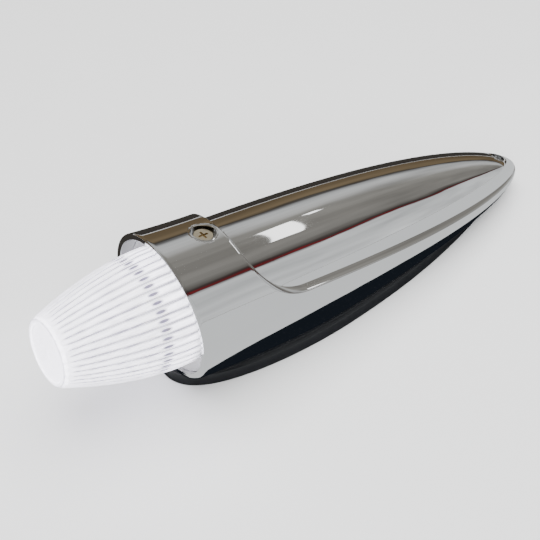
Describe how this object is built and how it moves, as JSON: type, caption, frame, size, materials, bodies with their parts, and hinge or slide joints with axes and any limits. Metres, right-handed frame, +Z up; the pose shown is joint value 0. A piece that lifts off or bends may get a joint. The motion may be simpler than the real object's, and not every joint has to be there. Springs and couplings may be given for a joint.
{
  "type": "marker lamp",
  "caption": "Torpedo-shaped marker lamp: chromed bullet casting on a rubber pad, with a clear fluted LED lens in its round front collar.",
  "frame": {"origin": "middle of the bounding box, on the underside of the rubber pad", "axes": "+X to the pointed tail, -X out of the lens, +Y across, +Z up from the mounting surface"},
  "size_m": [0.3066, 0.0758, 0.0808],
  "materials": {
    "chrome_casting": "bright chrome plate on a die casting",
    "pad_rubber": "black moulded rubber",
    "plated_steel": "zinc-plated steel",
    "screw_brass": "brass with light wear",
    "clear_lens": "clear moulded polycarbonate, fluted",
    "black_plastic": "matt black moulding",
    "sink_aluminium": "turned aluminium",
    "board_white": "white solder mask",
    "led_light": "clear resin over lit chips",
    "chip_black": "epoxy package",
    "reflector_white": "white moulding",
    "contact_brass": "bright brass strip",
    "lead_red": "PVC insulation",
    "lead_black": "PVC insulation",
    "block_grey": "moulded nylon"
  },
  "bodies": {
    "casting": {"housing": "chrome_casting", "base_gasket": "pad_rubber", "wire_grommet": "pad_rubber", "front_insert": "plated_steel", "tail_sleeve": "plated_steel", "retaining_washer": "plated_steel", "clamp_strap": "plated_steel", "lamp_plug": "black_plastic", "lead_live": "lead_red", "lead_ground": "lead_black", "terminal_block": "block_grey", "terminal_screws": "plated_steel"},
    "lamp_unit": {"lens": "clear_lens", "lens_seal": "pad_rubber", "back_shell": "black_plastic", "heat_sink": "sink_aluminium", "board_standoffs": "sink_aluminium", "board_screws": "plated_steel", "led_board": "board_white", "leds": "led_light", "resistors": "chip_black", "rectifier": "chip_black", "reflector_ring": "reflector_white", "contact_pins": "contact_brass"},
    "clamp_screw": {"retaining_screw": "screw_brass"}
  },
  "joints": [
    {"name": "lamp_pull", "type": "slide", "parent": "casting", "child": "lamp_unit", "axis": [-0.9923, 0, 0.1236], "range_m": [0, 0.045]},
    {"name": "screw_out", "type": "slide", "parent": "casting", "child": "clamp_screw", "axis": [0.1236, 0, 0.9923], "range_m": [0, 0.012]}
  ]
}
